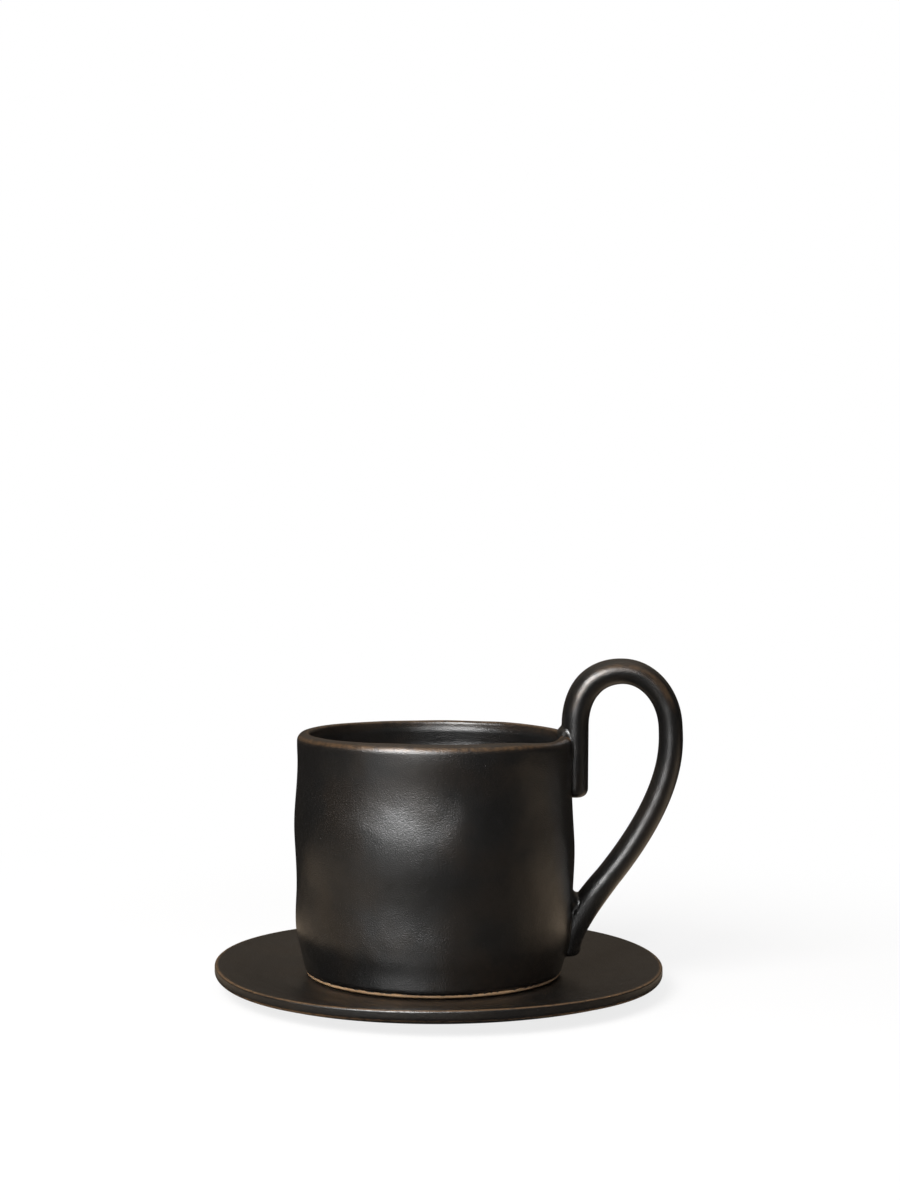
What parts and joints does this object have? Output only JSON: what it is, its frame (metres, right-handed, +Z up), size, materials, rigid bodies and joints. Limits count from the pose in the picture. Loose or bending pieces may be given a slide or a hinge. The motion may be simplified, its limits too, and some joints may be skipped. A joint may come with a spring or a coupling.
{
  "type": "mug with saucer",
  "caption": "Hand-built cup in satin black glaze with a tall coil handle that loops above the rim, standing on a round saucer with a shallow well.",
  "frame": {"origin": "centre of the saucer's flat base, on the surface that it stands on", "axes": "+Z up along the saucer's axis, +X towards the handle"},
  "size_m": [0.146, 0.14, 0.1032],
  "materials": {
    "black_glaze": "satin black glaze, breaking to brown on the edges",
    "bare_clay": "bare fired stoneware"
  },
  "bodies": {
    "saucer": {"saucer_plate": "black_glaze", "saucer_foot": "bare_clay"},
    "cup": {"cup_wall": "black_glaze", "cup_floor": "black_glaze", "cup_foot_ring": "bare_clay", "handle_coil": "black_glaze", "handle_rim_wad": "black_glaze", "handle_crotch_wad": "black_glaze"}
  },
  "joints": [
    {"name": "cup_lift", "type": "slide", "parent": "saucer", "child": "cup", "axis": [0, 0, 1], "range_m": [0, 0.12]}
  ]
}
